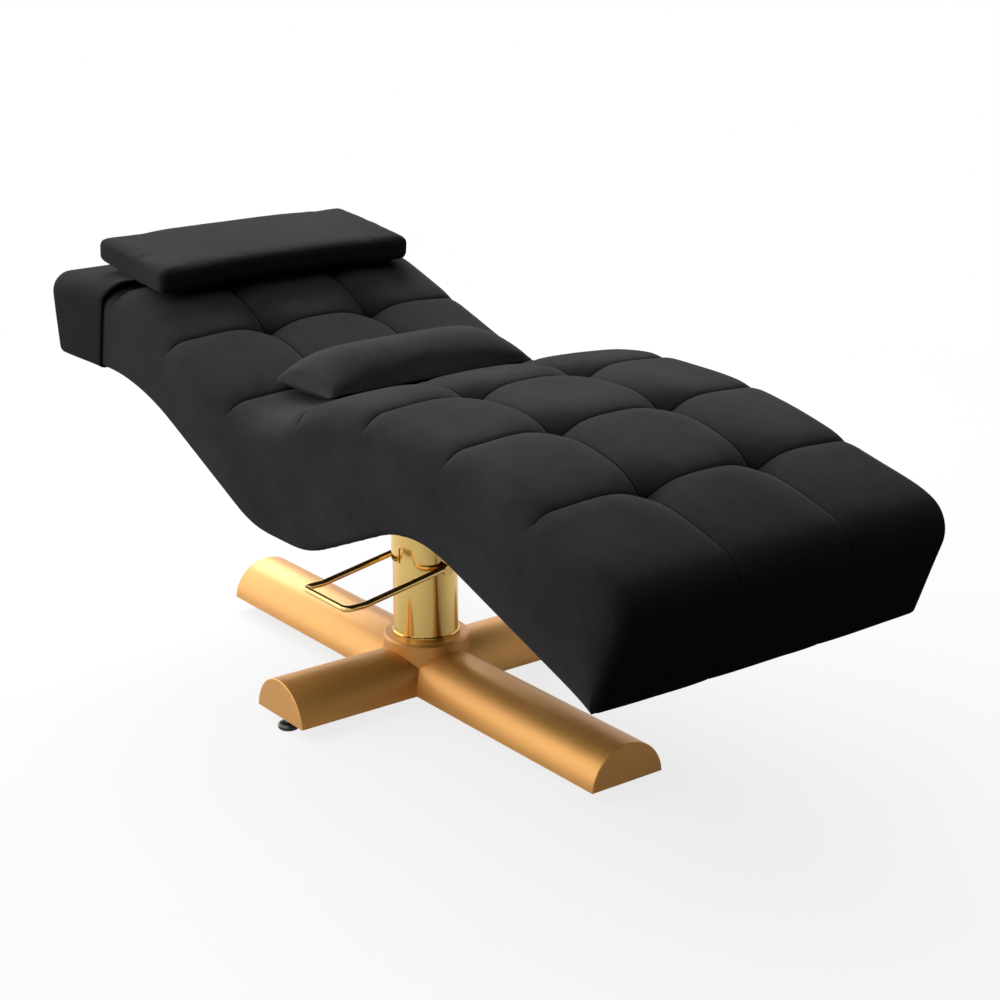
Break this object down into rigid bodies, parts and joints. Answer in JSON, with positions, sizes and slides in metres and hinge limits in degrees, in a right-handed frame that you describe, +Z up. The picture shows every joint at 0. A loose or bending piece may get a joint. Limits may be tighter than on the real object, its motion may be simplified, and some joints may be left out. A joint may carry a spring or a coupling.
{
  "type": "eyelash extension bed",
  "caption": "Wave-shaped black velvet treatment bed with a tufted top, slip-on headrest and loose lumbar pillow on a gold pump column and cross base.",
  "frame": {"origin": "on the floor, on the swivel axis of the column", "axes": "+X towards the foot end, +Y towards the client's left side, +Z up"},
  "size_m": [1.6938, 0.6448, 0.7534],
  "materials": {
    "gold_paint": "satin gold-copper metallic paint",
    "zinc_steel": "plain turned steel",
    "polished_brass": "polished and lacquered gold",
    "gold_rod": "polished gold-plated steel rod",
    "cast_pump": "machined casting",
    "bronze_bush": "turned bronze",
    "seal_rubber": "oil-resistant rubber",
    "hard_chrome": "ground and hard-chromed",
    "plate_paint": "black powder coat",
    "plywood": "bare plywood",
    "bottom_board": "black lining over thin board",
    "pad_plastic": "glossy black moulding",
    "black_velvet": "short-pile black velvet over foam",
    "hood_velvet": "smooth black velvet sleeve",
    "pad_velvet": "black velvet over foam",
    "pillow_velvet": "black velvet with soft filling"
  },
  "bodies": {
    "base": {"hub": "gold_paint", "leg_foot_end": "gold_paint", "leg_left": "gold_paint", "leg_head_end": "gold_paint", "leg_right": "gold_paint", "end_cap_foot_end": "gold_paint", "end_cap_left": "gold_paint", "end_cap_head_end": "gold_paint", "end_cap_right": "gold_paint", "foot_socket_foot_end": "zinc_steel", "foot_socket_left": "zinc_steel", "foot_socket_head_end": "zinc_steel", "foot_socket_right": "zinc_steel", "pump_tube": "polished_brass", "trim_ring": "polished_brass", "pump_cap": "polished_brass", "pump_cylinder": "zinc_steel", "pump_head": "cast_pump", "guide_bush": "bronze_bush", "wiper_seal": "seal_rubber", "plunger_barrel": "zinc_steel", "lever_bushes": "bronze_bush"},
    "ram": {"ram": "hard_chrome", "piston": "zinc_steel", "piston_seal": "seal_rubber", "thrust_washer": "bronze_bush"},
    "lever": {"lever_bar": "gold_rod", "lever_shafts": "gold_rod"},
    "plunger": {"plunger": "zinc_steel"},
    "bed": {"mount_plate": "plate_paint", "mount_bolts": "zinc_steel", "tee_nuts": "zinc_steel", "mount_board": "plywood", "frame_side_left": "plywood", "frame_side_right": "plywood", "deck_panel": "plywood", "bottom_cover": "bottom_board", "head_board": "plywood", "rail_head": "plywood", "rail_back": "plywood", "rail_knee": "plywood", "rail_shin": "plywood", "rail_foot": "plywood", "top_cushion": "black_velvet", "side_panel_left": "black_velvet", "side_panel_right": "black_velvet"},
    "headrest": {"headrest_hood": "hood_velvet", "headrest_pad": "pad_velvet"},
    "pillow": {"lumbar_pillow": "pillow_velvet"},
    "foot_foot_end": {"foot_pad_foot_end": "pad_plastic", "foot_stem_foot_end": "zinc_steel"},
    "foot_left": {"foot_pad_left": "pad_plastic", "foot_stem_left": "zinc_steel"},
    "foot_head_end": {"foot_pad_head_end": "pad_plastic", "foot_stem_head_end": "zinc_steel"},
    "foot_right": {"foot_pad_right": "pad_plastic", "foot_stem_right": "zinc_steel"}
  },
  "joints": [
    {"name": "lift", "type": "slide", "parent": "base", "child": "ram", "axis": [0, 0, 1], "range_m": [0, 0.15]},
    {"name": "swivel", "type": "hinge", "parent": "ram", "child": "bed", "pos_m": [0, 0, 0.345], "axis": [0, 0, 1], "continuous": true},
    {"name": "lever_press", "type": "hinge", "parent": "base", "child": "lever", "pos_m": [0, 0, 0.243], "axis": [1, 0, 0], "range_deg": [-8, 22], "stiffness_Nm_per_rad": 15, "springref_deg": -2.29},
    {"name": "plunger_stroke", "type": "slide", "parent": "base", "child": "plunger", "axis": [0, 0, 1], "range_m": [-0.0072, 0.0027]},
    {"name": "headrest_pull", "type": "slide", "parent": "bed", "child": "headrest", "axis": [-0.9999, 0, -0.012], "range_m": [0, 0.235]},
    {"name": "pillow_lift", "type": "slide", "parent": "bed", "child": "pillow", "axis": [0, 0, 1], "range_m": [0, 0.3]},
    {"name": "foot_foot_end_turn", "type": "hinge", "parent": "base", "child": "foot_foot_end", "pos_m": [0.5, 0, 0.02], "axis": [0, 0, 1], "continuous": true},
    {"name": "foot_left_turn", "type": "hinge", "parent": "base", "child": "foot_left", "pos_m": [0, 0.29, 0.02], "axis": [0, 0, 1], "continuous": true},
    {"name": "foot_head_end_turn", "type": "hinge", "parent": "base", "child": "foot_head_end", "pos_m": [-0.5, 0, 0.02], "axis": [0, 0, 1], "continuous": true},
    {"name": "foot_right_turn", "type": "hinge", "parent": "base", "child": "foot_right", "pos_m": [0, -0.29, 0.02], "axis": [0, 0, 1], "continuous": true}
  ],
  "couplings": [
    {"joint": "plunger_stroke", "follows": "lever_press", "m_per_rad": -0.0172}
  ]
}
